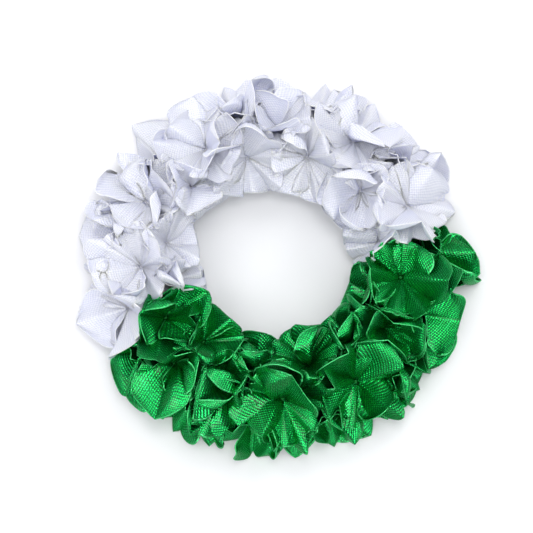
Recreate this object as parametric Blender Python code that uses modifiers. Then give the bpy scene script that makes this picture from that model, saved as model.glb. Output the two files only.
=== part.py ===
"""Ribbon gajra: a ring garland for a hair bun, covered in gathered satin ribbon rosettes.

An elastic band runs inside a gathered ribbon sleeve. The sleeve is white on one side of the
ring and green on the other, and rosettes of the same two ribbons are sewn round it in an
upper, an outer and an inner row. Each rosette is one length of ribbon, gathered along one
selvedge into a knot and pleated into deep folds. Metres, +Z up, the garland lies on z = 0.
"""

import math

import bmesh
import bpy
import numpy as np
from mathutils import Matrix

# The band: an elastic cord in a gathered ribbon sleeve, oval in section and flat underneath.
BAND_RADIUS = 0.0350
SLEEVE_HALF_WIDTH = 0.0065
SLEEVE_HALF_HEIGHT = 0.0055
SLEEVE_SIDES = 12
PLEAT_DEPTH = 0.0006
PLEATS_ROUND_RING = 26
STEPS_PER_PLEAT = 4
BAND_HEIGHT = SLEEVE_HALF_HEIGHT - 0.0009
ELASTIC_RADIUS = 0.0016
BORE_RADIUS = ELASTIC_RADIUS + 0.0004
RING_STEPS = 48
RING_SIDES = 8
FIT_GAP = 0.0003

# White ribbon runs from the first angle round to the second, green closes the ring.
WHITE_FROM = 10.0
WHITE_TO = 200.0

# The ribbon of a rosette: its width, the knot that it is gathered into, and its thickness.
RIBBON_WIDTH = 0.0165
KNOT_RADIUS = 0.0022
RIBBON_THICKNESS = 0.00062
STEPS_PER_FOLD = 7.3
STEPS_ACROSS = 2
WELD = 0.000001
SEED = 20

# How far the knot and the stitch under it stand off the sleeve, and where the petals' middle is.
KNOT_STAND_OFF = PLEAT_DEPTH + RIBBON_THICKNESS + FIT_GAP
STITCH_STAND_OFF = RIBBON_THICKNESS / 2 + FIT_GAP
PETAL_MIDDLE = 0.0050

# Rosettes crowd each other, so each keeps to a cell: flat sides between it and its neighbours,
# which lean over the lower layer and pass clear of both knots, and the floor and the hole.
LEAN_PER_LAYER = 0.5
LEAN_CUTS = 8
MOST_LAYERS_LEANT = 2
NEIGHBOUR_REACH = 0.0400
KNOT_ROOM = KNOT_RADIUS + 0.0012
CELL_MARGIN = (RIBBON_THICKNESS + FIT_GAP) / 2 + 0.0001
HOLE_RADIUS = 0.0205
FLOOR_MARGIN = RIBBON_THICKNESS / 2 + FIT_GAP
CORNER_SHARPNESS = 10
EDGE_SHARPNESS = 6
NEXT_TO_NOTHING = 1e-12

# A fold swings between these angles over the sleeve, and its edge curls outwards. Across the
# band the low folds of the upper and outer rows droop, because the sleeve falls away there.
LOW_FOLD = math.radians(5)
HIGH_FOLD = math.radians(56)
LEAST_SWING = math.radians(14)
RISE_WITH_LOW = 0.3
DROOP = math.radians(22)
CURL = math.radians(14)
LEAST_CURL = 0.2

# Where a fold may lie: where the ribbon has this share of its width, or nearly the most there.
ENOUGH_ROOM = 0.68
NEARLY_MOST = 0.94
LOOKS_ROUND = 72
LOOKS_UP = np.radians(np.linspace(-20, 80, 51))
SMOOTHING = np.array([1, 3, 6, 7, 6, 3, 1]) / 27

# The shape of the folds: flat flanks, narrow troughs, crests that overhang, uneven spacing.
CRISPNESS = 0.93
TROUGH_SHARPNESS = 1.5
CREST_HEIGHT = 1.1
TROUGH_DEPTH = 1.15
OVERHANG = 0.35
UNEVEN_SPACING = (0.9, 0.5)
UNEVEN_HEIGHT = (0.22, 0.16)

# At the knot the folds are drawn tight: this share of their swing, about this height, and they
# open out to their whole swing over this share of the ribbon's width.
KNOT_SWING = 0.08
KNOT_HEIGHT = 0.3
OPEN_FOLDS_BY = 0.5

# Each rosette: its angle round the ring, the lean of its axis from the outward horizontal
# (90 faces up), its number of folds, and its layer: higher layers spread over lower ones.
UPPER_ROW = (
    (23, 54, 5, 5),
    (57, 52, 4, 5),
    (89, 74, 4, 3),
    (121, 78, 4, 5),
    (155, 60, 5, 5),
    (182, 76, 4, 4),
    (207, 94, 5, 5),
    (225, 58, 4, 4),
    (247, 80, 4, 3),
    (273, 70, 4, 5),
    (304, 56, 5, 5),
    (329, 84, 4, 3),
    (353, 88, 5, 5),
)
OUTER_ROW = (
    (4, 30, 4, 2),
    (40, 24, 4, 2),
    (74, 26, 3, 1),
    (105, 32, 4, 3),
    (138, 26, 3, 1),
    (170, 26, 4, 1),
    (197, 28, 4, 3),
    (214, 18, 3, 1),
    (239, 28, 4, 2),
    (262, 24, 3, 1),
    (289, 26, 4, 2),
    (318, 24, 4, 2),
    (340, 32, 3, 3),
)
INNER_ROW = (
    (11, 124, 3, 1),
    (40, 112, 4, 4),
    (73, 114, 4, 4),
    (105, 116, 3, 4),
    (138, 112, 4, 3),
    (170, 114, 3, 4),
    (190, 124, 3, 2),
    (228, 120, 4, 3),
    (257, 118, 3, 2),
    (288, 118, 4, 3),
    (314, 124, 4, 1),
    (339, 130, 4, 1),
)

WHITE_SATIN = ("white_satin", (0.86, 0.87, 0.93, 1.0), 0.38)
GREEN_SATIN = ("green_satin", (0.0, 0.28, 0.07, 1.0), 0.36)
ELASTIC = ("elastic_braid", (0.80, 0.80, 0.80, 1.0), 0.8)


def clear_scene():
    """Remove whatever the file opened with."""
    for old in list(bpy.data.objects):
        bpy.data.objects.remove(old, do_unlink=True)


def make_material(name, colour, roughness):
    """One Principled material."""
    material = bpy.data.materials.new(name)
    material.use_nodes = True
    shader = material.node_tree.nodes["Principled BSDF"]
    shader.inputs["Base Color"].default_value = colour
    shader.inputs["Roughness"].default_value = roughness
    shader.inputs["Metallic"].default_value = 0.0
    return material


def add_object(name, mesh, collection, material):
    """Put a mesh in the collection under its piece's name."""
    obj = bpy.data.objects.new(name, mesh)
    mesh.materials.append(material)
    collection.objects.link(obj)
    return obj


def is_white(angle):
    """Whether the ribbon at this angle round the ring is the white one."""
    return WHITE_FROM <= angle % 360 < WHITE_TO


def pleat_rise(angle):
    """How far the gathers lift the sleeve's surface at this angle round the ring."""
    first, last = (WHITE_FROM, WHITE_TO) if is_white(angle) else (WHITE_TO, WHITE_FROM + 360)
    share = (angle - first) % 360 / (last - first)
    pleats = round(PLEATS_ROUND_RING * (last - first) / 360)
    return PLEAT_DEPTH * math.cos(2 * math.pi * pleats * share)


class Rosette:
    """A gathered length of ribbon: its knot, its axes and its random character."""

    def __init__(self, row, angle, lean, folds, layer, seed):
        self.name = f"{'white' if is_white(angle) else 'green'}_{row}_rosette_{round(angle):03d}"
        self.white = is_white(angle)
        self.folds = folds
        self.layer = layer
        turn, tip = math.radians(angle), math.radians(lean)
        outward = np.array([math.cos(turn), math.sin(turn), 0.0])
        up = np.array([0.0, 0.0, 1.0])
        wide, high = SLEEVE_HALF_WIDTH * math.cos(tip), SLEEVE_HALF_HEIGHT * math.sin(tip)
        support = math.hypot(wide, high)
        on_sleeve = (
            outward * (BAND_RADIUS + SLEEVE_HALF_WIDTH * wide / support)
            + up * (BAND_HEIGHT + SLEEVE_HALF_HEIGHT * high / support)
        )
        self.outward = outward
        self.axis = outward * math.cos(tip) + up * math.sin(tip)
        self.along = np.array([-math.sin(turn), math.cos(turn), 0.0])
        self.across = np.cross(self.axis, self.along)
        self.knot = on_sleeve + self.axis * KNOT_STAND_OFF
        self.stitch = on_sleeve + self.axis * (pleat_rise(angle) + STITCH_STAND_OFF)
        self.middle = self.knot + self.axis * PETAL_MIDDLE
        draw = np.random.default_rng(seed)
        self.phases = draw.uniform(0, 2 * math.pi, 5)
        self.droop = 0.0 if row == "inner" else DROOP
        self.cell = []

    def place(self, azimuth, elevation, reach):
        """World points from angles and distance at the knot."""
        flat = reach * np.cos(elevation)
        return (
            self.knot
            + np.multiply.outer(flat * np.cos(azimuth), self.along)
            + np.multiply.outer(flat * np.sin(azimuth), self.across)
            + np.multiply.outer(reach * np.sin(elevation), self.axis)
        )

    def part_from(self, other):
        """A plane between this rosette and another: a point and its normal, towards the other.

        It leans over the lower layer of the two, as far as it still passes between the knots.
        """
        apart = other.middle - self.middle
        apart /= np.linalg.norm(apart)
        over = self.axis + other.axis
        over /= np.linalg.norm(over)
        halfway = (self.middle + other.middle) / 2
        layers = np.clip(self.layer - other.layer, -MOST_LAYERS_LEANT, MOST_LAYERS_LEANT)
        normal = apart
        for share in np.linspace(1, 0, LEAN_CUTS + 1):
            normal = apart - LEAN_PER_LAYER * layers * share * over
            normal /= np.linalg.norm(normal)
            room = min((halfway - self.knot) @ normal, (other.knot - halfway) @ normal)
            if room > KNOT_ROOM:
                break
        return halfway, normal

    def bound_cell(self, rosettes):
        """Planes that part this rosette from its neighbours and from the floor."""
        for other in rosettes:
            if other is self or np.linalg.norm(other.middle - self.middle) > NEIGHBOUR_REACH:
                continue
            halfway, normal = self.part_from(other)
            self.cell.append((halfway - normal * CELL_MARGIN, normal))
        self.cell.append((np.array([0.0, 0.0, FLOOR_MARGIN]), np.array([0.0, 0.0, -1.0])))
        self.cell.append((self.outward * HOLE_RADIUS, -self.outward))

    def room(self, azimuth, elevation):
        """How far a petal can reach this way before a plane of the cell, rounded at corners."""
        ways = self.place(azimuth, elevation, np.ones_like(azimuth)) - self.knot
        crowding = np.zeros_like(azimuth)
        for point, normal in self.cell:
            gap = (point - self.knot) @ normal
            crowding += (np.clip(ways @ normal, 0, None) / gap) ** CORNER_SHARPNESS
        return np.clip(crowding, NEXT_TO_NOTHING, None) ** (-1 / CORNER_SHARPNESS)

    def open_window(self, azimuth):
        """The lowest and highest elevation with room for the ribbon, smoothed round the knot."""
        rounds = np.linspace(0, 2 * math.pi, LOOKS_ROUND, endpoint=False)
        room = self.room(*np.meshgrid(rounds, LOOKS_UP, indexing="ij"))
        most = room.max(axis=1, keepdims=True)
        enough = room >= np.minimum(ENOUGH_ROOM * RIBBON_WIDTH, NEARLY_MOST * most)
        low = LOOKS_UP[enough.argmax(axis=1)]
        high = LOOKS_UP[::-1][enough[:, ::-1].argmax(axis=1)]
        low = np.maximum(low, LOW_FOLD - self.droop * np.sin(rounds) ** 2)
        high = np.minimum(high, HIGH_FOLD + RISE_WITH_LOW * (low - LOW_FOLD))
        high = np.maximum(high, low + LEAST_SWING)
        spread = len(SMOOTHING) // 2
        smooth = []
        for edge in (low, high):
            wrapped = np.concatenate([edge[-spread:], edge, edge[:spread]])
            smoothed = np.convolve(wrapped, SMOOTHING, "valid")
            smooth.append(np.interp(azimuth, rounds, smoothed, period=2 * math.pi))
        return smooth

    def gather(self, along, across):
        """World points of the gathered ribbon, from shares of its length and of its width."""
        drift, ripple, swell, second_swell, start = self.phases
        turn = 2 * math.pi * along
        fold = self.folds * turn
        fold += UNEVEN_SPACING[0] * np.sin(turn + drift) + UNEVEN_SPACING[1] * np.sin(2 * turn + ripple)
        lift = 1 + UNEVEN_HEIGHT[0] * np.sin(2 * turn + swell)
        lift += UNEVEN_HEIGHT[1] * np.sin(3 * turn + second_swell)
        wave = lift * np.arcsin(CRISPNESS * np.sin(fold)) / math.asin(CRISPNESS)
        trough = np.clip((1 - wave) / 2, 0, CREST_HEIGHT) ** TROUGH_SHARPNESS
        height = CREST_HEIGHT - TROUGH_DEPTH * trough
        open_out = KNOT_SWING + (1 - KNOT_SWING) * np.clip(across / OPEN_FOLDS_BY, 0, 1)
        height = KNOT_HEIGHT + (height - KNOT_HEIGHT) * open_out
        azimuth = turn + start - OVERHANG * across * np.sin(2 * fold) / self.folds
        low, high = self.open_window(azimuth)
        elevation = low + (high - low) * height - CURL * across**2 * np.clip(height, LEAST_CURL, 1)
        width = KNOT_RADIUS + (RIBBON_WIDTH - KNOT_RADIUS) * across
        squeeze = (width / self.room(azimuth, elevation)) ** EDGE_SHARPNESS
        return self.place(azimuth, elevation, width / (1 + squeeze) ** (1 / EDGE_SHARPNESS))


def plan_rosettes():
    """Every rosette of the three rows, each with the cell that it may fill."""
    rosettes = []
    for row, places in (("upper", UPPER_ROW), ("outer", OUTER_ROW), ("inner", INNER_ROW)):
        for angle, lean, folds, layer in places:
            rosettes.append(Rosette(row, angle, lean, folds, layer, SEED + len(rosettes)))
    for rosette in rosettes:
        rosette.bound_cell(rosettes)
    return rosettes


def rosette_mesh(rosette):
    """The ribbon as a flat grid, gathered round its knot, its ends joined and its knot closed."""
    work = bmesh.new()
    steps = round(STEPS_PER_FOLD * rosette.folds)
    bmesh.ops.create_grid(work, x_segments=steps, y_segments=STEPS_ACROSS, size=0.5)
    flat = np.array([vert.co[:] for vert in work.verts])
    gathered = rosette.gather(flat[:, 0] + 0.5, flat[:, 1] + 0.5)
    for vert, point in zip(work.verts, gathered):
        vert.co = point
    knot_edge = [vert for vert, across in zip(work.verts, flat[:, 1] + 0.5) if across < WELD]
    bmesh.ops.remove_doubles(work, verts=work.verts, dist=WELD)
    ring = {vert for vert in knot_edge if vert.is_valid}
    edges = [edge for edge in work.edges if edge.is_boundary and set(edge.verts) <= ring]
    knot = bmesh.ops.edgeloop_fill(work, edges=edges)["faces"]
    stitch = bmesh.ops.poke(work, faces=knot)["verts"][0]
    stitch.co = rosette.stitch
    bmesh.ops.triangulate(work, faces=work.faces)
    bmesh.ops.recalc_face_normals(work, faces=work.faces)
    mesh = bpy.data.meshes.new(rosette.name)
    work.to_mesh(mesh)
    work.free()
    return mesh


def build_rosette(rosette, collection, material):
    """A rosette of ribbon, given its thickness by Solidify."""
    obj = add_object(rosette.name, rosette_mesh(rosette), collection, material)
    cloth = obj.modifiers.new("ribbon_thickness", "SOLIDIFY")
    cloth.thickness = RIBBON_THICKNESS
    cloth.offset = 0.0
    cloth.use_even_offset = False
    return obj


def sleeve_mesh(name, first, last):
    """A length of gathered sleeve between two angles: an oval section, spun and then pleated."""
    work = bmesh.new()
    share = (last - first) / 360
    steps = round(PLEATS_ROUND_RING * share) * STEPS_PER_PLEAT
    gap_turn = FIT_GAP / 2 / BAND_RADIUS
    start = math.radians(first) + gap_turn
    sweep = math.radians(last - first) - 2 * gap_turn
    section = bmesh.ops.create_circle(
        work, segments=SLEEVE_SIDES, radius=1.0, cap_ends=True,
        matrix=Matrix.Rotation(math.pi / SLEEVE_SIDES, 4, "Z"),
    )
    for vert in section["verts"]:
        side, rise = vert.co.x * SLEEVE_HALF_WIDTH, vert.co.y * SLEEVE_HALF_HEIGHT
        spoke = BAND_RADIUS + side
        vert.co = (spoke * math.cos(start), spoke * math.sin(start), BAND_HEIGHT + rise)
    bmesh.ops.spin(
        work, geom=work.verts[:] + work.edges[:] + work.faces[:], cent=(0, 0, 0),
        axis=(0, 0, 1), angle=sweep, steps=steps, use_duplicate=False,
    )
    for vert in work.verts:
        turn = math.atan2(vert.co.y, vert.co.x)
        middle = np.array([BAND_RADIUS * math.cos(turn), BAND_RADIUS * math.sin(turn), BAND_HEIGHT])
        out = np.array(vert.co) - middle
        placed = middle + out * (1 + pleat_rise(math.degrees(turn)) / np.linalg.norm(out))
        placed[2] = max(placed[2], 0.0)
        vert.co = placed
    bmesh.ops.recalc_face_normals(work, faces=work.faces)
    mesh = bpy.data.meshes.new(name)
    work.to_mesh(mesh)
    work.free()
    return mesh


def ring_object(name, tube_radius, collection, material):
    """A round ring on the band's centre line, from the torus primitive."""
    bpy.ops.mesh.primitive_torus_add(
        major_radius=BAND_RADIUS, minor_radius=tube_radius, major_segments=RING_STEPS,
        minor_segments=RING_SIDES, location=(0, 0, BAND_HEIGHT),
    )
    obj = bpy.context.active_object
    for home in list(obj.users_collection):
        home.objects.unlink(obj)
    collection.objects.link(obj)
    obj.name = name
    obj.data.materials.append(material)
    return obj


def build_band(garland, cutters, white, green, braid):
    """The elastic ring and the two lengths of sleeve that it runs through."""
    ring_object("elastic_band", ELASTIC_RADIUS, garland, braid)
    bore = ring_object("sleeve_bore", BORE_RADIUS, cutters, braid)
    bore.hide_render = True
    bore.display_type = "WIRE"
    lengths = (
        ("white_sleeve", WHITE_FROM, WHITE_TO, white),
        ("green_sleeve", WHITE_TO, WHITE_FROM + 360, green),
    )
    for name, first, last, ribbon in lengths:
        sleeve = add_object(name, sleeve_mesh(name, first, last), garland, ribbon)
        cut = sleeve.modifiers.new("elastic_bore", "BOOLEAN")
        cut.operation = "DIFFERENCE"
        cut.object = bore


def centre_on_origin(objects):
    """Slide everything level, so that the garland's whole outline is centred over the origin."""
    bpy.context.view_layer.update()
    graph = bpy.context.evaluated_depsgraph_get()
    finished = [obj.evaluated_get(graph) for obj in objects]
    corners = [obj.matrix_world @ vert.co for obj in finished for vert in obj.data.vertices]
    shift = -(np.min(corners, axis=0) + np.max(corners, axis=0)) / 2
    for obj in objects:
        obj.location.x += shift[0]
        obj.location.y += shift[1]


def main():
    clear_scene()
    garland = bpy.data.collections.new("ribbon_gajra")
    cutters = bpy.data.collections.new("cutters")
    for collection in (garland, cutters):
        bpy.context.scene.collection.children.link(collection)
    white = make_material(*WHITE_SATIN)
    green = make_material(*GREEN_SATIN)
    braid = make_material(*ELASTIC)
    build_band(garland, cutters, white, green, braid)
    for rosette in plan_rosettes():
        build_rosette(rosette, garland, white if rosette.white else green)
    centre_on_origin(list(bpy.data.objects))


main()
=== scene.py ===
"""Dresses the ribbon gajra: gathered satin rosettes, white and green, on an elastic band.

Each rosette is one length of satin ribbon, gathered into a knot: a pleated skirt next to the
sleeve and folded petals that stand on it. All of it is pressed into the space that the neighbours
leave. Metres, +Z up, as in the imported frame.
"""

import logging
import math
from dataclasses import dataclass, field
from enum import Enum

import bmesh
import bpy
import numpy as np
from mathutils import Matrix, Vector


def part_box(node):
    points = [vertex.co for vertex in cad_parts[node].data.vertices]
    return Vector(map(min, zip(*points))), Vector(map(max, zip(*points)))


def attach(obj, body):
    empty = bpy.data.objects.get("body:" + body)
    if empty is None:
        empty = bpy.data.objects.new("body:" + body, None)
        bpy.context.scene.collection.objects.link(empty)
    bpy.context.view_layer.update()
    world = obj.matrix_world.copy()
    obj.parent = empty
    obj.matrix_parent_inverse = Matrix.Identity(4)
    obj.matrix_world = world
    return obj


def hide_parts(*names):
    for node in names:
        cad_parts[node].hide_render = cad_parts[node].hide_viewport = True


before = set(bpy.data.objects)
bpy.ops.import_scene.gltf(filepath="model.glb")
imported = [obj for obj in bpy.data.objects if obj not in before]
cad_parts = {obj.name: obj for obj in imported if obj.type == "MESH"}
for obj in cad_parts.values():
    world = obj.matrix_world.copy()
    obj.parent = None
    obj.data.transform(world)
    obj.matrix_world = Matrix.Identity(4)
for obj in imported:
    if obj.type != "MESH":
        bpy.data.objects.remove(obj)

LOG = logging.getLogger("ribbon_gajra")
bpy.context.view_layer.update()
UP = np.array([0.0, 0.0, 1.0])
LEAST_CROWDING = 1e-12
LEAST_LENGTH = 1e-9
LEAST_SHARE = 1e-6


def smoothed(values: np.ndarray, weights: tuple[int, ...]) -> np.ndarray:
    """Smooths values that run round a ring.

    Args:
        values: the values, the last next to the first.
        weights: how much each neighbour counts, an odd number of them.

    Returns:
        As many values, each a mean of its neighbours.
    """
    spread = len(weights) // 2
    wrapped = np.concatenate([values[-spread:], values, values[:spread]])
    return np.convolve(wrapped, np.array(weights) / sum(weights), "valid")


class Colour(Enum):
    """The two ribbons of the garland."""

    WHITE = "white"
    GREEN = "green"


class Row(Enum):
    """The rows that the rosettes are sewn in, by where they face."""

    UPPER = "upper"
    OUTER = "outer"
    INNER = "inner"


@dataclass(frozen=True)
class Place:
    """Where a rosette is sewn on.

    angle is its turn round the ring and lean the lean of its axis from the outward horizontal,
    in degrees. Rosettes of a higher layer spread over those of a lower one.
    """

    angle: float
    lean: float
    folds: int
    layer: int


PLACES: dict[Row, tuple[Place, ...]] = {
    Row.UPPER: (
        Place(23, 54, 5, 6),
        Place(57, 52, 4, 5),
        Place(89, 74, 4, 3),
        Place(121, 78, 4, 5),
        Place(155, 60, 5, 5),
        Place(182, 76, 4, 6),
        Place(207, 94, 5, 5),
        Place(225, 58, 4, 4),
        Place(247, 80, 4, 3),
        Place(273, 70, 4, 5),
        Place(304, 56, 5, 5),
        Place(329, 84, 4, 3),
        Place(353, 88, 5, 5),
    ),
    Row.OUTER: (
        Place(4, 30, 4, 2),
        Place(40, 24, 4, 2),
        Place(74, 26, 3, 1),
        Place(105, 32, 4, 3),
        Place(138, 26, 3, 1),
        Place(170, 26, 4, 1),
        Place(197, 28, 4, 6),
        Place(214, 18, 3, 1),
        Place(239, 28, 5, 2),
        Place(262, 24, 3, 1),
        Place(289, 26, 4, 2),
        Place(318, 24, 4, 2),
        Place(340, 32, 3, 3),
    ),
    Row.INNER: (
        Place(11, 124, 3, 1),
        Place(40, 112, 4, 4),
        Place(73, 114, 4, 4),
        Place(105, 116, 3, 4),
        Place(138, 112, 4, 3),
        Place(170, 114, 3, 4),
        Place(190, 124, 3, 2),
        Place(228, 120, 4, 3),
        Place(257, 118, 3, 2),
        Place(288, 118, 4, 3),
        Place(314, 124, 4, 1),
        Place(339, 130, 4, 1),
    ),
}


@dataclass(frozen=True)
class Outline:
    """The garland's outline as the photo shows it, from above.

    Each pair is an angle round the ring in degrees and the rim's radius there in millimetres, at
    the tips of its petals and at the dips between them.

    Attributes:
        outer: the outer rim.
        inner: the hole's rim.
        outer_from: the radius in metres beyond which petals are drawn to the outer rim.
        inner_from: the radius within which they are drawn to the hole's rim.
        bins: how many directions the rim is read in.
        least_stretch: how far petals may be drawn in, as a share of their length there.
        most_stretch: how far they may be drawn out.
        smoothing: how the rim that was read is smoothed.
    """

    outer: tuple[tuple[float, float], ...] = (
        (10, 51.8), (28, 55.7), (50, 52.8), (60, 54.6), (80, 52.0), (92, 54.0), (112, 52.4),
        (136, 55.8), (145, 54.2), (160, 56.0), (184, 54.7), (197, 57.6), (207, 54.0), (222, 57.0),
        (238, 55.0), (248, 57.2), (262, 55.0), (290, 54.4), (308, 56.3), (320, 54.5), (330, 56.0),
        (344, 54.0), (357, 60.4),
    )
    inner: tuple[tuple[float, float], ...] = (
        (6, 21.0), (21, 20.0), (46, 19.8), (75, 19.8), (95, 19.8), (118, 21.0), (132, 23.0),
        (145, 24.6), (155, 24.6), (170, 21.6), (185, 20.2), (238, 20.2), (272, 20.2), (288, 18.6),
        (300, 20.8), (315, 21.6), (345, 21.6),
    )
    outer_from: float = 0.0400
    inner_from: float = 0.0320
    bins: int = 72
    least_stretch: float = 0.6
    most_stretch: float = 1.45
    smoothing: tuple[int, ...] = (1, 2, 3, 2, 1)

    def goal(self, rim: tuple[tuple[float, float], ...], angle: np.ndarray) -> np.ndarray:
        """The rim that the photo shows.

        Args:
            rim: the outer rim or the hole's.
            angle: angles round the ring, in degrees.

        Returns:
            The rim's radius at each, in metres.
        """
        angles, radii = (np.array(part, dtype=float) for part in zip(*rim))
        return np.interp(angle % 360, angles, radii, period=360) / 1000

    def reached(self, points: np.ndarray, outward: bool) -> np.ndarray:
        """How far the petals reach at present, in each direction round the ring.

        Args:
            points: every point of the petals, on the ring's own centre.
            outward: whether the outer rim is asked for, and not the hole's.

        Returns:
            The radius in each of the bins, smoothed.
        """
        spoke = np.hypot(points[:, 0], points[:, 1])
        angle = np.degrees(np.arctan2(points[:, 1], points[:, 0])) % 360
        place = (angle / 360 * self.bins).astype(int) % self.bins
        found = np.full(self.bins, 0.0 if outward else 1.0)
        (np.maximum if outward else np.minimum).at(found, place, spoke)
        return smoothed(found, self.smoothing)

    def fit(self, points: np.ndarray, outer: np.ndarray, inner: np.ndarray) -> np.ndarray:
        """Draws the petals out or in, so that their rims lie where the photo shows them.

        Args:
            points: the points to move, on the ring's own centre.
            outer: how far the petals reach outwards at present.
            inner: how far they reach into the hole.

        Returns:
            The moved points.
        """
        spoke = np.hypot(points[..., 0], points[..., 1])
        angle = np.degrees(np.arctan2(points[..., 1], points[..., 0])) % 360
        middles = (np.arange(self.bins) + 0.5) * 360 / self.bins
        moved = spoke
        for rim, found, start in (
            (self.outer, outer, self.outer_from),
            (self.inner, inner, self.inner_from),
        ):
            now = np.interp(angle, middles, found, period=360)
            stretch = (self.goal(rim, angle) - start) / (now - start)
            stretch = np.clip(stretch, self.least_stretch, self.most_stretch)
            beyond = (spoke - start) * np.sign(now - start) > 0
            moved = np.where(beyond, start + (spoke - start) * stretch, moved)
        share = moved / spoke
        return np.stack([points[..., 0] * share, points[..., 1] * share, points[..., 2]], axis=-1)


@dataclass(frozen=True)
class Band:
    """The elastic's ring and the oval sleeve round it, on the band's own centre.

    Lengths are metres and angles degrees. White ribbon runs from white_from round to white_to,
    and join_gap parts the two lengths of sleeve.
    """

    radius: float = 0.0350
    half_width: float = 0.0065
    half_height: float = 0.0055
    height: float = 0.0046
    pleat_depth: float = 0.0006
    white_from: float = 10.0
    white_to: float = 200.0
    join_gap: float = 0.0003

    def colour_at(self, angle: float) -> Colour:
        """The ribbon's colour at a place on the ring.

        Args:
            angle: the place's angle, in degrees.

        Returns:
            The colour.
        """
        white = self.white_from <= angle % 360 < self.white_to
        return Colour.WHITE if white else Colour.GREEN


@dataclass(frozen=True)
class Ribbon:
    """The satin ribbon of a rosette and how it is gathered and crowded.

    Lengths are metres and angles radians.

    Attributes:
        width: the ribbon's width.
        knot_radius: half the knot's width.
        thickness: the cloth's thickness here, thinner than solid_thickness in the solids.
        fit_gap: the gap that the solids keep from the sleeve.
        cell_gap: a gap that a cell keeps from its neighbours besides.
        petal_middle: how far the petals' middle stands off the knot.
        lean_per_layer: how far a cell's side leans over a lower layer's rosette.
        most_layers_leant: the most layers that count for the lean.
        lean_tries: how many leans are tried, from the full one to none.
        neighbour_reach: how near a rosette has to be to bound the cell.
        knot_room: the room that each knot keeps.
        hole_radius: where the hole bounds the cell.
        corner_sharpness: how sharply two sides of a cell meet.
        edge_sharpness: how sharply petals are pressed flat against a side.
        sleeve_sharpness: how sharply they are pressed off the sleeve.
        looks_up: the lowest and highest elevation that is tried for room, in degrees.
        looks: how many elevations are tried.
        looks_round: how many ways round the knot are tried.
        window_smoothing: how the room that was found is smoothed.
        low_fold: the lowest fold, and high_fold the highest.
        least_swing: the least difference between them.
        rise_with_low: how much the highest fold rises with the lowest.
        droop: how far upper and outer rosettes hang at their sides.
        curl: how far the skirt curls down at its edge.
        enough_room: how far cloth has to reach for there to be room, as a share of the width.
        nearly_most: the same as a share of the most room.
        reach: the length of a petal from the knot to its tip.
        girth: the width of a petal where it is widest, measured along the cloth.
        neck: the share of that width left at the knot.
        petal_root: where petals start, as a share of the knot's radius.
        petal_room: how far a petal may pass its room, as a share.
        petal_spread: how far petals stray from an even round.
        petal_length: the length of ribbon that the weave moves on by from petal to petal.
        overlap: how far a rosette laps over an equal or lower one.
        white_tuck: how far white is tucked under a higher white one, and green_tuck green.
        weld: how near points are one.
        shown_share: the share of the ribbon taken to show. The declared length is worked back
            from the mesh's own area with it.
        seed: fixes the random draws.
        steps_out: rows of a petal, and steps_round its columns.
        tip_crowding: how much the rows crowd towards the tip.
    """

    width: float = 0.0165
    knot_radius: float = 0.0022
    thickness: float = 0.00022
    solid_thickness: float = 0.00062
    fit_gap: float = 0.0003
    cell_gap: float = 0.0001
    petal_middle: float = 0.0050
    lean_per_layer: float = 0.5
    most_layers_leant: int = 2
    lean_tries: int = 9
    neighbour_reach: float = 0.0400
    knot_room: float = 0.0034
    hole_radius: float = 0.0205
    corner_sharpness: int = 18
    edge_sharpness: int = 14
    sleeve_sharpness: int = 8
    looks_up: tuple[float, float] = (-20, 80)
    looks: int = 51
    looks_round: int = 72
    window_smoothing: tuple[int, ...] = (1, 3, 6, 7, 6, 3, 1)
    low_fold: float = math.radians(5)
    high_fold: float = math.radians(56)
    least_swing: float = math.radians(14)
    rise_with_low: float = 0.3
    droop: float = math.radians(22)
    curl: float = math.radians(14)
    enough_room: float = 0.68
    nearly_most: float = 0.94
    reach: float = 0.0172
    girth: float = 0.0225
    neck: float = 0.13
    petal_root: float = 0.4
    petal_room: float = 1.04
    petal_spread: float = 0.30
    petal_length: float = 0.05
    overlap: float = 0.0024
    white_tuck: float = 0.0018
    green_tuck: float = 0.0005
    weld: float = 0.00002
    shown_share: float = 0.9
    seed: int = 20
    steps_out: int = 20
    steps_round: int = 24
    tip_crowding: float = 1.5


@dataclass(frozen=True)
class Skirt:
    """The pleated round of ribbon under a rosette's petals. Each pair is the least and the most.

    Attributes:
        pleats: how many pleats it has.
        steps_out: rows from the knot to the edge.
        steps_fold: columns from one crease to the next.
        height: how much of the room over the lowest fold the pleats may take.
        stray: how far a crease strays, as a share of the way to the next.
        crest: how high the upper creases lie, as a share of that height.
        hollow: how high the lower creases lie.
        crest_length: the cloth's length at an upper crease, as a share of the ribbon's width.
        hollow_length: the same at a lower crease.
        room: how much of the cell's room it may take.
        root: where it starts, as a share of the knot's radius.
        level_at: how far out it neither rises nor curls down.
    """

    pleats: int = 8
    steps_out: int = 12
    steps_fold: int = 4
    height: float = 0.60
    stray: tuple[float, float] = (-0.28, 0.28)
    crest: tuple[float, float] = (0.6, 1.0)
    hollow: tuple[float, float] = (0.0, 0.3)
    crest_length: float = 0.87
    hollow_length: float = 0.82
    room: float = 0.93
    root: float = 0.2
    level_at: float = 0.4


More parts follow.
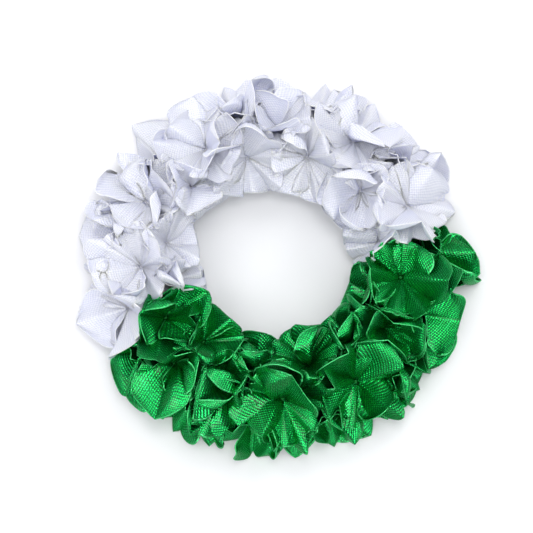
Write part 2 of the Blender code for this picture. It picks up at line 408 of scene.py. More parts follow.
@dataclass(frozen=True)
class Habit:
    """How petals tend to lie. Each pair is the least and the most of a random draw.

    Attributes:
        ridges: the share of petals that are ridges, and not troughs.
        ridge_level: how high a ridge's spine lies in the room that it has.
        trough_level: how high a trough's lies.
        upright_level: how high the standing petals' lie.
        upright_reach: how long the standing petals are, and spread_reach the others.
        upright_offset: how far the first standing petal is turned from the start.
        roll: how far a petal is rolled about its spine, in radians, and twist how much more at
            its tip.
        bend: how far its tip lifts.
        ridge_tip: how blunt a ridge's tip is, and trough_tip a trough's.
        swept: how far its selvedges lie back.
        slant: how far its ribs are turned.
        chevrons: the share of petals whose ribs mirror at the spine.
        drop: how steeply a side leaves the spine.
        curl: how much a side bends.
        folded: the share of sides with a pressed crease.
        fold_ways: how sharply a crease turns a side down or up.
        fold_strength: how much of that it does.
        fold_at: where the crease runs.
        fullness: how wide a side is.
    """

    ridges: float = 0.68
    ridge_level: tuple[float, float] = (0.3, 0.62)
    trough_level: tuple[float, float] = (0.05, 0.3)
    upright_level: tuple[float, float] = (0.85, 1.15)
    upright_reach: tuple[float, float] = (0.72, 0.9)
    spread_reach: tuple[float, float] = (0.9, 1.06)
    upright_offset: float = 0.25
    roll: tuple[float, float] = (-0.3, 0.3)
    twist: tuple[float, float] = (-0.45, 0.45)
    bend: tuple[float, float] = (-0.30, 0.10)
    ridge_tip: tuple[float, float] = (0.4, 0.75)
    trough_tip: tuple[float, float] = (0.3, 0.6)
    swept: tuple[float, float] = (0.3, 0.6)
    slant: tuple[float, float] = (-0.9, 0.9)
    chevrons: float = 0.6
    drop: tuple[float, float] = (0.35, 0.8)
    curl: tuple[float, float] = (-0.35, 0.5)
    folded: float = 0.45
    fold_ways: tuple[float, float] = (-1.5, 1.6)
    fold_strength: tuple[float, float] = (0.5, 1.0)
    fold_at: tuple[float, float] = (0.5, 0.72)
    fullness: tuple[float, float] = (0.82, 1.12)


@dataclass(frozen=True)
class Ripples:
    """The small gathers of a petal, as slopes in radians and as angles turned over its length.

    Attributes:
        knot_slope: the gathers beside the knot.
        knot_turn: how close they lie.
        dying: how fast they die out towards the tip.
        wave_slope: the soft waves of the whole petal.
        wave_turn: how close they lie.
        edge_slope: the waves of the selvedge.
        edge_turn: how close they lie.
        roll: how far the petal sways about its spine.
        roll_turn: how often it does.
    """

    knot_slope: float = 0.55
    knot_turn: float = 7
    dying: int = 3
    wave_slope: float = 0.14
    wave_turn: float = 5
    edge_slope: float = 0.14
    edge_turn: float = 13
    roll: float = 0.08
    roll_turn: float = 3


SKIRT = Skirt()
HABIT = Habit()
RIPPLES = Ripples()


def unit(vector: np.ndarray) -> np.ndarray:
    """A vector of length one.

    Args:
        vector: any vector that isn't nothing.

    Returns:
        The vector of length one the same way.
    """
    return vector / np.linalg.norm(vector)


@dataclass(frozen=True)
class Flank:
    """One side of a petal, from its spine to its selvedge. Angles are in radians.

    Attributes:
        drop: how steeply it leaves the spine.
        curl: how much it bends over its whole width.
        fold: how sharply it is folded at its pressed crease.
        fold_at: where that crease runs, as a share of the way to the selvedge.
        width: its width where the petal is widest, in metres.
        crease_sharpness: how little of the way to the selvedge the crease takes.
    """

    drop: float
    curl: float
    fold: float
    fold_at: float
    width: float
    crease_sharpness: float = 9

    def slope(self, across: np.ndarray) -> np.ndarray:
        """The side's slope.

        Args:
            across: share of the way to the selvedge.

        Returns:
            The slope at each share, in radians.
        """
        pressed = np.clip((across - self.fold_at) * self.crease_sharpness + 0.5, 0, 1)
        return self.drop + self.curl * across + self.fold * pressed


@dataclass(frozen=True)
class Petal:
    """A lobe of the ribbon, drawn up at the knot so that its selvedge runs out and back.

    Angles are in radians and lengths in metres.

    Attributes:
        azimuth: turn of the petal's spine round the rosette's axis.
        elevation: rise of the spine over the plane of the knot.
        reach: length from the knot to the tip.
        flanks: its two sides.
        roll: turn about the spine, nothing for a trough and half a turn for a ridge.
        twist: how much more the petal is rolled at its tip than at the knot.
        bend: how far the tip lifts, as a share of the reach.
        tip: how blunt the tip is, from 0.3, rounded, to 1.2, drawn to a point.
        swept: how far the selvedges lie back from the tip, as a share of their height.
        slant: how far the weave's ribs are turned from the way across the petal.
        chevron: whether the ribs mirror at the spine.
        phases: where its small gathers run.
        shoulder: how fast the petal widens from the knot, above 1 late and below 1 early.
    """

    azimuth: float
    elevation: float
    reach: float
    flanks: tuple[Flank, Flank]
    roll: float
    twist: float
    bend: float
    tip: float
    swept: float
    slant: float
    chevron: bool
    phases: tuple[float, float, float]
    shoulder: float = 0.9

    def swell(self, out: np.ndarray, neck: float) -> np.ndarray:
        """The petal's width along its spine, as a share of its greatest.

        Args:
            out: share of the way from the knot to the tip.
            neck: share of the width that is left at the knot.

        Returns:
            The share of the width, one for each value.
        """
        rise, fall = self.shoulder, self.tip
        widest = rise / (rise + fall)
        shape = (out / widest) ** rise * ((1 - out) / (1 - widest)) ** fall
        return np.where(out < widest, neck + (1 - neck) * shape, shape)

    def section(self, out: np.ndarray, around: np.ndarray, neck: float) -> tuple[np.ndarray, ...]:
        """The petal's section: how far each point lies aside of its spine, above and behind it.

        Args:
            out: share of the way from the knot to the tip, alike along a row.
            around: share of the way from the spine, -1 and 1 at the two selvedges.
            neck: share of the width that is left at the knot.

        Returns:
            The distances aside, above and back from the tip, in metres.
        """
        first, second, third = self.phases
        ripples = RIPPLES
        middle = around.shape[1] // 2
        onward = out[:, 1:middle + 1]
        aside, above = np.zeros_like(around), np.zeros_like(around)
        for side, flank in zip((-1, 1), self.flanks):
            run = slice(middle, None) if side > 0 else slice(middle, None, -1)
            share = np.abs(around[:, run])
            slope = flank.slope((share[:, 1:] + share[:, :-1]) / 2)
            aside_share = share[:, 1:]
            gathers = np.sin(ripples.knot_turn * aside_share + first)
            slope = slope + ripples.knot_slope * gathers * (1 - onward) ** ripples.dying
            waves = ripples.wave_turn * aside_share + second + ripples.wave_turn * onward
            slope = slope + ripples.wave_slope * np.sin(waves)
            frill = np.sin(ripples.edge_turn * onward + 2 * third)
            slope = slope + ripples.edge_slope * aside_share**2 * frill
            step = np.diff(share, axis=1) * flank.width * self.swell(onward, neck)
            aside[:, run][:, 1:] = side * np.cumsum(np.cos(slope) * step, axis=1)
            above[:, run][:, 1:] = np.cumsum(np.sin(slope) * step, axis=1)
        sway = ripples.roll * np.sin(ripples.roll_turn * out + third)
        roll = self.roll + self.twist * (out - 0.5) + sway
        return (
            aside * np.cos(roll) - above * np.sin(roll),
            aside * np.sin(roll) + above * np.cos(roll),
            self.swept * np.abs(above) * out,
        )


class Rosette:
    """One length of ribbon, gathered into a knot on the sleeve."""

    def __init__(self, row: Row, place: Place, number: int, band: Band, ribbon: Ribbon) -> None:
        """Settles the knot and the axes of a rosette.

        Args:
            row: the row that it is sewn in.
            place: where it is sewn on.
            number: its number in the whole garland, which fixes its random draws.
            band: the ring that it sits on.
            ribbon: the ribbon that it is made of.
        """
        self.colour = band.colour_at(place.angle)
        self.node = f"{self.colour.value}_{row.value}_rosette_{round(place.angle):03d}"
        self.row = row
        self.place = place
        self.band = band
        self.ribbon = ribbon
        turn, tip = math.radians(place.angle), math.radians(place.lean)
        self.outward = np.array([math.cos(turn), math.sin(turn), 0.0])
        wide, high = band.half_width * math.cos(tip), band.half_height * math.sin(tip)
        support = math.hypot(wide, high)
        on_sleeve = self.outward * (band.radius + band.half_width * wide / support)
        on_sleeve = on_sleeve + UP * (band.height + band.half_height * high / support)
        stand_off = band.pleat_depth + ribbon.solid_thickness + ribbon.fit_gap
        self.axis = self.outward * math.cos(tip) + UP * math.sin(tip)
        self.along = np.array([-math.sin(turn), math.cos(turn), 0.0])
        self.across = np.cross(self.axis, self.along)
        self.knot = on_sleeve + self.axis * stand_off
        self.middle = self.knot + self.axis * ribbon.petal_middle
        self.droop = 0.0 if row is Row.INNER else ribbon.droop
        self.draw = np.random.default_rng(ribbon.seed + number)
        self.cell: list[tuple[np.ndarray, np.ndarray]] = []
        self.petals: list[Petal] = []
        self.cloths: list[tuple[np.ndarray, ...]] = []

    def point_at(self, azimuth: np.ndarray, elevation: np.ndarray, reach: np.ndarray) -> np.ndarray:
        """Points from angles and distance at the knot.

        Args:
            azimuth: turn round the axis, in radians.
            elevation: rise over the plane of the knot, in radians.
            reach: distance from the knot.

        Returns:
            One point a row.
        """
        flat = reach * np.cos(elevation)
        return (
            self.knot
            + np.multiply.outer(flat * np.cos(azimuth), self.along)
            + np.multiply.outer(flat * np.sin(azimuth), self.across)
            + np.multiply.outer(reach * np.sin(elevation), self.axis)
        )

    def side_towards(self, other: "Rosette") -> tuple[np.ndarray, np.ndarray]:
        """The flat side of the cell towards a neighbour, leaning over the lower layer.

        Args:
            other: the neighbour.

        Returns:
            A point halfway and the side's normal, towards the neighbour.
        """
        ribbon = self.ribbon
        apart = unit(other.middle - self.middle)
        over = unit(self.axis + other.axis)
        halfway = (self.middle + other.middle) / 2
        most = ribbon.most_layers_leant
        layers = min(max(self.place.layer - other.place.layer, -most), most)
        normal = apart
        for share in np.linspace(1, 0, ribbon.lean_tries):
            normal = unit(apart - ribbon.lean_per_layer * layers * share * over)
            room = min((halfway - self.knot) @ normal, (other.knot - halfway) @ normal)
            if room > ribbon.knot_room:
                break
        return halfway, normal

    def bound_cell(self, rosettes: list["Rosette"]) -> None:
        """Sets the flat sides of the cell: towards the neighbours, the floor and the hole.

        Args:
            rosettes: all the rosettes of the ring.
        """
        ribbon = self.ribbon
        margin = (ribbon.solid_thickness + ribbon.fit_gap) / 2 + ribbon.cell_gap
        for other in rosettes:
            if other is self or np.linalg.norm(other.middle - self.middle) > ribbon.neighbour_reach:
                continue
            halfway, normal = self.side_towards(other)
            above = self.place.layer >= other.place.layer
            tuck = ribbon.white_tuck if self.colour is Colour.WHITE else ribbon.green_tuck
            tucked = tuck if self.colour is other.colour else 0.0
            lapped = ribbon.overlap if above else tucked
            self.cell.append((halfway - normal * (margin - lapped), normal))
        self.cell.append((UP * (ribbon.solid_thickness / 2 + ribbon.fit_gap), -UP))
        self.cell.append((self.outward * ribbon.hole_radius, -self.outward))

    def room(self, ways: np.ndarray) -> np.ndarray:
        """How far a petal can reach before it meets a side of the cell.

        Args:
            ways: the ways from the knot, each of length one.

        Returns:
            The distance each way, in metres.
        """
        sharpness = self.ribbon.corner_sharpness
        crowding = np.zeros(ways.shape[:-1])
        for point, normal in self.cell:
            gap = (point - self.knot) @ normal
            crowding += (np.clip(ways @ normal, 0, None) / gap) ** sharpness
        return np.clip(crowding, LEAST_CROWDING, None) ** (-1 / sharpness)

    def open_window(self, azimuth: np.ndarray) -> tuple[np.ndarray, np.ndarray]:
        """The lowest and highest elevation with room for the ribbon, smoothed round the knot.

        Args:
            azimuth: turns round the axis, in radians.

        Returns:
            The lowest and the highest at each turn, in radians.
        """
        ribbon = self.ribbon
        looks_up = np.radians(np.linspace(*ribbon.looks_up, ribbon.looks))
        rounds = np.linspace(0, 2 * math.pi, ribbon.looks_round, endpoint=False)
        azimuths, elevations = np.meshgrid(rounds, looks_up, indexing="ij")
        room = self.room(self.point_at(azimuths, elevations, np.ones_like(azimuths)) - self.knot)
        most = room.max(axis=1, keepdims=True)
        enough = room >= np.minimum(ribbon.enough_room * ribbon.width, ribbon.nearly_most * most)
        low = looks_up[enough.argmax(axis=1)]
        high = looks_up[::-1][enough[:, ::-1].argmax(axis=1)]
        low = np.maximum(low, ribbon.low_fold - self.droop * np.sin(rounds) ** 2)
        high = np.minimum(high, ribbon.high_fold + ribbon.rise_with_low * (low - ribbon.low_fold))
        high = np.maximum(high, low + ribbon.least_swing)
        low, high = (
            np.interp(azimuth, rounds, smoothed(edge, ribbon.window_smoothing), period=2 * math.pi)
            for edge in (low, high)
        )
        return low, high

    def draw_flank(self, fullness: float) -> Flank:
        """Chooses how one side of a petal is folded.

        Args:
            fullness: its width as a share of what the ribbon allows.

        Returns:
            The side.
        """
        draw, habit = self.draw, HABIT
        folded = draw.random() < habit.folded
        return Flank(
            drop=draw.uniform(*habit.drop),
            curl=draw.uniform(*habit.curl),
            fold=draw.choice(habit.fold_ways) * draw.uniform(*habit.fold_strength) if folded else 0.0,
            fold_at=draw.uniform(*habit.fold_at),
            width=self.ribbon.girth / 2 * draw.uniform(*habit.fullness) * fullness,
        )

    def draw_petals(self) -> list[Petal]:
        """Chooses the rosette's petals: a round of spread ones and one or two that stand up.

        Returns:
            The petals, the standing ones last.
        """
        ribbon, draw, habit = self.ribbon, self.draw, HABIT
        spread = self.place.folds
        upright = 2 if self.row is Row.UPPER else 1
        start = draw.uniform(0, 2 * math.pi)
        petals = []
        for number in range(spread + upright):
            stands = number >= spread
            share = (number - spread + habit.upright_offset) / upright if stands else number / spread
            azimuth = start + 2 * math.pi * share + draw.uniform(-1, 1) * ribbon.petal_spread
            low, high = (float(edge[0]) for edge in self.open_window(np.array([azimuth])))
            ridge = draw.random() < habit.ridges
            level = draw.uniform(*(habit.ridge_level if ridge else habit.trough_level))
            level = draw.uniform(*habit.upright_level) if stands else level
            elevation = low + (high - low) * level
            way = self.point_at(np.array([azimuth]), np.array([elevation]), np.ones(1)) - self.knot
            reaches = habit.upright_reach if stands else habit.spread_reach
            wished = ribbon.reach * draw.uniform(*reaches)
            reach = min(wished, ribbon.petal_room * float(self.room(way)[0]))
            fullness = math.sqrt(reach / wished)
            petals.append(Petal(
                azimuth=azimuth,
                elevation=elevation,
                reach=reach,
                flanks=(self.draw_flank(fullness), self.draw_flank(fullness)),
                roll=(math.pi if ridge else 0.0) + draw.uniform(*habit.roll),
                twist=draw.uniform(*habit.twist),
                bend=draw.uniform(*habit.bend),
                tip=draw.uniform(*(habit.ridge_tip if ridge else habit.trough_tip)),
                swept=draw.uniform(*habit.swept),
                slant=draw.uniform(*habit.slant),
                chevron=draw.random() < habit.chevrons,
                phases=tuple(draw.uniform(0, 2 * math.pi, 3)),
            ))
        return petals

    def press(self, points: np.ndarray) -> np.ndarray:
        """Presses points back into the rosette's cell and off the sleeve.

        Args:
            points: where the petals would lie with nothing round them.

        Returns:
            Where they lie in the crowd.
        """
        ribbon, band = self.ribbon, self.band
        ways = points - self.knot
        far = np.linalg.norm(ways, axis=-1, keepdims=True)
        room = self.room(ways / np.maximum(far, LEAST_LENGTH))[..., None]
        squeeze = (1 + (far / room) ** ribbon.edge_sharpness) ** (1 / ribbon.edge_sharpness)
        points = self.knot + ways / squeeze
        spoke = np.hypot(points[..., 0], points[..., 1])
        outward = points[..., :2] / spoke[..., None]
        wide = band.half_width + band.pleat_depth + ribbon.thickness
        high = band.half_height + band.pleat_depth + ribbon.thickness
        side, rise = (spoke - band.radius) / wide, (points[..., 2] - band.height) / high
        inside = np.hypot(side, rise)
        sharpness = ribbon.sleeve_sharpness
        push = (1 + inside**sharpness) ** (1 / sharpness) / np.maximum(inside, LEAST_SHARE)
        spoke = band.radius + side * push * wide
        return np.concatenate(
            [outward * spoke[..., None], (band.height + rise * push * high)[..., None]], axis=-1
        )

    def lay(self, petal: Petal, out: np.ndarray, around: np.ndarray) -> np.ndarray:
        """Points of a petal.

        Args:
            petal: the petal.
            out: share of the way from the knot to the tip.
            around: share of the way round, from one selvedge to the other.

        Returns:
            The points, pressed into the cell.
        """
        turn, rise = petal.azimuth, petal.elevation
        level = math.cos(turn) * self.along + math.sin(turn) * self.across
        ahead = math.cos(rise) * level + math.sin(rise) * self.axis
        over = -math.sin(rise) * level + math.cos(rise) * self.axis
        side = np.cross(over, ahead)
        ribbon = self.ribbon
        aside, above, behind = petal.section(out, around, ribbon.neck)
        above = above + petal.bend * petal.reach * out**2
        onward = ribbon.knot_radius * ribbon.petal_root + petal.reach * out - behind
        points = (
            self.knot
            + np.multiply.outer(onward, ahead)
            + np.multiply.outer(aside, side)
            + np.multiply.outer(above, over)
        )
        return self.press(points)

    def lay_skirt(self) -> tuple[np.ndarray, np.ndarray, np.ndarray]:
        """The pleated round of ribbon next to the sleeve, which the petals stand on.

        Returns:
            The points, one row for each step out from the knot, the length run along the ribbon
            and the distance from the knot at each.
        """
        ribbon, draw, skirt = self.ribbon, self.draw, SKIRT
        creases = 2 * skirt.pleats
        turns = np.arange(creases) + draw.uniform(*skirt.stray, creases)
        turns = np.append(turns, turns[0] + creases) * 2 * math.pi / creases
        crests, hollows = draw.uniform(*skirt.crest, creases), draw.uniform(*skirt.hollow, creases)
        heights = np.where(np.arange(creases) % 2 == 0, crests, hollows)
        heights = np.append(heights, heights[0])
        on_crest = np.arange(creases + 1) % 2 == 0
        lengths = np.where(on_crest, skirt.crest_length, skirt.hollow_length)
        steps = np.arange(creases * skirt.steps_fold + 1) / skirt.steps_fold
        azimuth = np.interp(steps, np.arange(creases + 1), turns)
        height = np.interp(steps, np.arange(creases + 1), heights)
        length = np.interp(steps, np.arange(creases + 1), lengths)
        low, high = self.open_window(azimuth)
        elevation = low + (high - low) * skirt.height * height
        way = self.point_at(azimuth, elevation, np.ones_like(azimuth)) - self.knot
        reach = np.minimum(ribbon.width * length, skirt.room * self.room(way))
        out = np.linspace(0, 1, skirt.steps_out + 1)[:, None]
        curled = elevation + ribbon.curl * (skirt.level_at - out)
        root = ribbon.knot_radius * skirt.root
        far = root + (reach - root) * out
        points = self.press(self.point_at(azimuth + 0 * out, curled, far))
        edge = points[-1]
        run = np.concatenate([[0.0], np.cumsum(np.linalg.norm(np.diff(edge, axis=0), axis=1))])
        return points, run + 0 * out, reach * out

    def lay_all(self) -> None:
        """Lays the skirt and every petal.

        Each is kept as a grid of points, with how far along the ribbon and across it they lie and
        how far they are from its selvedge.
        """
        ribbon = self.ribbon
        steps = np.linspace(0, 1, ribbon.steps_out + 1)
        columns = np.linspace(-1, 1, ribbon.steps_round + 1)
        out, around = np.meshgrid(1 - (1 - steps) ** ribbon.tip_crowding, columns, indexing="ij")
        points, run, far = self.lay_skirt()
        self.cloths = [(points, run, far, far[-1] - far)]
        for number, petal in enumerate(self.petals):
            points = self.lay(petal, out, around)
            ahead = self.cloth_lengths(points, 0)
            aside = self.cloth_lengths(points, 1)
            spine = aside[:, ribbon.steps_round // 2, None]
            across = np.abs(aside - spine)
            to_edge = np.where(around < 0, spine, aside[:, -1:] - spine) - across
            mirrored = across if petal.chevron else aside - spine
            started = number * ribbon.petal_length
            run = started + ahead * math.cos(petal.slant) + mirrored * math.sin(petal.slant)
            over = mirrored * math.cos(petal.slant) - ahead * math.sin(petal.slant)
            self.cloths.append((points, run, over, to_edge))

    @staticmethod
    def cloth_lengths(points: np.ndarray, axis: int) -> np.ndarray:
        """The length of cloth up to each point of a grid.

        Args:
            points: the grid's points.
            axis: 0 to measure along its columns and 1 along its rows.

        Returns:
            The lengths in metres, nothing at the first point of each.
        """
        steps = np.linalg.norm(np.diff(points, axis=axis), axis=-1)
        start = np.zeros_like(steps.take([0], axis=axis))
        return np.concatenate([start, np.cumsum(steps, axis=axis)], axis=axis)

    def mesh(self, centre: np.ndarray) -> bpy.types.Mesh:
        """The rosette's ribbon, with a UV map in metres and the distance to its selvedge.

        Args:
            centre: where the ring's centre lies in the frame.

        Returns:
            The mesh.
        """
        cloth = bmesh.new()
        cloth.loops.layers.uv.new("ribbon")
        cloth.verts.layers.float.new("selvedge")
        for points, run, over, to_edge in self.cloths:
            self.sew(cloth, points + centre, run, over, to_edge)
        bmesh.ops.remove_doubles(cloth, verts=cloth.verts, dist=self.ribbon.weld)
        mesh = bpy.data.meshes.new(self.node + "_satin")
        cloth.to_mesh(mesh)
        cloth.free()
        mesh.shade_smooth()
        return mesh

    @staticmethod
    def sew(
        cloth: bmesh.types.BMesh,
        points: np.ndarray,
        run: np.ndarray,
        over: np.ndarray,
        to_edge: np.ndarray,
    ) -> None:
        """Adds a grid of points to the ribbon's mesh as cloth.

        Args:
            cloth: the mesh, with its UV map and its distance to the selvedge.
            points: the grid's points.
            run: how far along the ribbon each lies, in metres.
            over: how far across it.
            to_edge: how far from its selvedge.
        """
        layer = cloth.loops.layers.uv["ribbon"]
        edge_layer = cloth.verts.layers.float["selvedge"]
        rows, columns = run.shape
        verts = [[cloth.verts.new(points[i, j]) for j in range(columns)] for i in range(rows)]
        for i in range(rows):
            for j in range(columns):
                verts[i][j][edge_layer] = to_edge[i, j]
        for i in range(rows - 1):
            for j in range(columns - 1):
                corners = ((i, j), (i + 1, j), (i + 1, j + 1), (i, j + 1))
                face = cloth.faces.new([verts[a][b] for a, b in corners])
                for loop, (a, b) in zip(face.loops, corners):
                    loop[layer].uv = (run[a, b], over[a, b])


@dataclass(frozen=True)
class SatinFinish:
    """A satin ribbon's colours and gloss. Colours are linear and lengths are metres.

    Attributes:
        name: the start of the material's name.
        face: the threads that catch the light, and fold the painted shade of the grooves that lie
            between them.
        light: the paler colour of the streaks, a painted sheen laid at random by noise.
        selvedge: the woven edge.
        rim: a painted shade where the ribbon is seen nearly edge on.
        roughness: how dull it is, and gloss how strongly it shines.
        sheen: the soft shine of its fibres.
        tint: the colour of its shine.
        coat: a second, colourless shine.
        metal: how much of the shine takes the ribbon's colour.
        translucence: how much light spreads inside the cloth.
        glow_radius: how far it spreads, for red, green and blue.
        rib_pitch: from rib to rib along the ribbon, and float_pitch from row to row across it.
        selvedge_width: the woven edge's width.
        painted_sheen_share: how far streaks go to their painted sheen colour.
        selvedge_light: how far the selvedge does, and rim_shade_share the painted edge-on shade.
        rim_shade_power: how narrow the painted edge-on shade is.
        dullness: what is added to the roughness, and streak_gloss what streaks take from it.
        selvedge_dullness: what the selvedge adds to it.
        sheen_roughness: how wide the sheen is.
        bump_strength: how strongly the threads show as relief, and bump_height their height.
    """

    name: str
    face: tuple[float, float, float]
    fold: tuple[float, float, float]
    light: tuple[float, float, float]
    selvedge: tuple[float, float, float]
    rim: tuple[float, float, float]
    roughness: float
    sheen: float
    gloss: float
    tint: tuple[float, float, float]
    coat: float
    metal: float
    translucence: float
    glow_radius: tuple[float, float, float] = (0.00032, 0.00032, 0.00036)
    rib_pitch: float = 0.00077
    float_pitch: float = 0.00064
    selvedge_width: float = 0.00045
    painted_sheen_share: float = 0.28
    selvedge_light: float = 0.7
    rim_shade_share: float = 0.6
    rim_shade_power: float = 4.0
    dullness: float = 0.08
    streak_gloss: float = 0.16
    selvedge_dullness: float = 0.15
    sheen_roughness: float = 0.4
    bump_strength: float = 0.8
    bump_height: float = 0.00012


@dataclass(frozen=True)
class ThreadFinish:
    """Twisted or braided thread.

    Attributes:
        name: the material's name.
        colour: the thread's colour, linear.
        pitch: the twist's pitch in metres.
        waves: the wave texture's scale times the pitch.
        waver: how uneven the twist is.
        shade: the painted shade in the twist's hollows, as a share of the thread's colour.
        roughness: how dull it is, and gloss how strongly it shines.
        bump_strength: how strongly the twist shows as relief, and bump_height its height.
    """

    name: str
    colour: tuple[float, float, float]
    pitch: float
    waves: float = 0.314
    waver: float = 1.5
    shade: float = 0.55
    roughness: float = 0.7
    gloss: float = 0.12
    bump_strength: float = 0.4
    bump_height: float = 0.00008


WHITE_SATIN = SatinFinish(
    name="white_satin",
    face=(0.845, 0.855, 0.920),
    # fold: painted lavender shade in the weave's grooves.
    fold=(0.650, 0.670, 0.780),
    # light: painted sheen of the streaks.
    light=(0.885, 0.890, 0.940),
    selvedge=(0.97, 0.975, 0.995),
    # rim: painted blue-lavender shade at the edge-on outlines.
    rim=(0.52, 0.56, 0.90),
    roughness=0.34,
    sheen=0.15,
    gloss=0.7,
    tint=(1.0, 1.0, 1.0),
    coat=0.0,
    metal=0.0,
    translucence=1.0,
)
GREEN_SATIN = SatinFinish(
    name="green_satin",
    face=(0.001, 0.275, 0.032),
    # fold: painted near-black shade in the weave's grooves.
    fold=(0.000, 0.012, 0.001),
    # light: painted sheen of the streaks.
    light=(0.030, 0.680, 0.230),
    selvedge=(0.080, 0.600, 0.200),
    # rim: painted dark shade where the ribbon is seen edge on.
    rim=(0.000, 0.100, 0.015),
    roughness=0.20,
    sheen=0.0,
    gloss=0.5,
    tint=(0.35, 1.0, 0.55),
    coat=0.14,
    metal=0.86,
    translucence=0.0,
)
WHITE_THREAD = ThreadFinish("white_thread", (0.85, 0.85, 0.92), 0.0004)
GREEN_THREAD = ThreadFinish("green_thread", (0.02, 0.30, 0.06), 0.0004)
ELASTIC_BRAID = ThreadFinish("elastic_braid", (0.75, 0.75, 0.78), 0.0009)


class NodeSheet:
    """A node tree under construction, with short ways to add and join its nodes."""

    def __init__(self, tree: bpy.types.NodeTree) -> None:
        """Takes a tree.

        Args:
            tree: the tree that the nodes go in.
        """
        self.tree = tree

    def add(
        self, kind: str, inputs: dict[str | int, object] | None = None, **settings: object
    ) -> bpy.types.Node:
        """Adds a node.

        Args:
            kind: the node's type.
            inputs: what each input is given, a socket to link or a constant.
            settings: the node's own settings.

        Returns:
            The node.
        """
        node = self.tree.nodes.new(kind)
        for key, value in settings.items():
            setattr(node, key, value)
        self.give(node, inputs or {})
        return node

    def give(self, node: bpy.types.Node, inputs: dict[str | int, object]) -> None:
        """Gives a node's inputs a link each, or a constant.

        Args:
            node: the node.
            inputs: what each input is given, by its name or number.
        """
        for key, value in inputs.items():
            self.feed(value, node.inputs[key])

    def feed(self, value: object, into: bpy.types.NodeSocket) -> None:
        """Gives a socket a link or a constant.

        Args:
            value: a socket to link, or else a constant.
            into: the socket that takes it.
        """
        if isinstance(value, bpy.types.NodeSocket):
            self.tree.links.new(value, into)
        else:
            into.default_value = value

    def sum(self, operation: str, *values: object) -> bpy.types.NodeSocket:
        """Adds a Math node.

        Args:
            operation: what it works out.
            values: its sockets or numbers, in order.

        Returns:
            Its result.
        """
        node = self.add("ShaderNodeMath", dict(enumerate(values)), operation=operation)
        return node.outputs[0]

    def vector(self, *values: object) -> bpy.types.NodeSocket:
        """Adds a Combine XYZ node.

        Args:
            values: sockets or numbers for X, Y and Z. Those left out are nothing.

        Returns:
            Its result.
        """
        return self.add("ShaderNodeCombineXYZ", dict(enumerate(values))).outputs[0]

    def wave(self, turns: object) -> bpy.types.NodeSocket:
        """The sine of a number of turns.

        Args:
            turns: the number, a socket or a constant.

        Returns:
            The sine.
        """
        return self.sum("SINE", self.sum("MULTIPLY", turns, 2 * math.pi))

    def blend(self, share: object, first: object, second: object) -> bpy.types.NodeSocket:
        """Mixes two colours.

        Args:
            share: how much of the second is taken.
            first: the first colour.
            second: the second colour.

        Returns:
            The mixed colour.
        """
        inputs = {0: share, 6: first, 7: second}
        return self.add("ShaderNodeMix", inputs, data_type="RGBA").outputs[2]


def opaque(colour: tuple[float, float, float]) -> tuple[float, float, float, float]:
    """A colour with full alpha.

    Args:
        colour: its red, green and blue.

    Returns:
        The colour as a socket takes it.
    """
    return (*colour, 1.0)


def new_material(name: str) -> tuple[bpy.types.Material, NodeSheet, bpy.types.Node]:
    """Starts a material.

    Args:
        name: the material's name.

    Returns:
        The material, its node sheet and its Principled shader.
    """
    material = bpy.data.materials.new(name)
    material.use_nodes = True
    return material, NodeSheet(material.node_tree), material.node_tree.nodes["Principled BSDF"]


def new_group(name: str, inputs: dict[str, float], outputs: tuple[str, ...]) -> NodeSheet:
    """Starts a shader node group with named number sockets.

    Args:
        name: the group's name.
        inputs: each input's name and default.
        outputs: each output's name.

    Returns:
        The group's sheet, with its Group Input and Group Output nodes made.
    """
    tree = bpy.data.node_groups.new(name, "ShaderNodeTree")
    for socket, default in inputs.items():
        made = tree.interface.new_socket(socket, in_out="INPUT", socket_type="NodeSocketFloat")
        made.default_value = default
    for socket in outputs:
        tree.interface.new_socket(socket, in_out="OUTPUT", socket_type="NodeSocketFloat")
    sheet = NodeSheet(tree)
    sheet.add("NodeGroupInput", name="in")
    sheet.add("NodeGroupOutput", name="out")
    return sheet


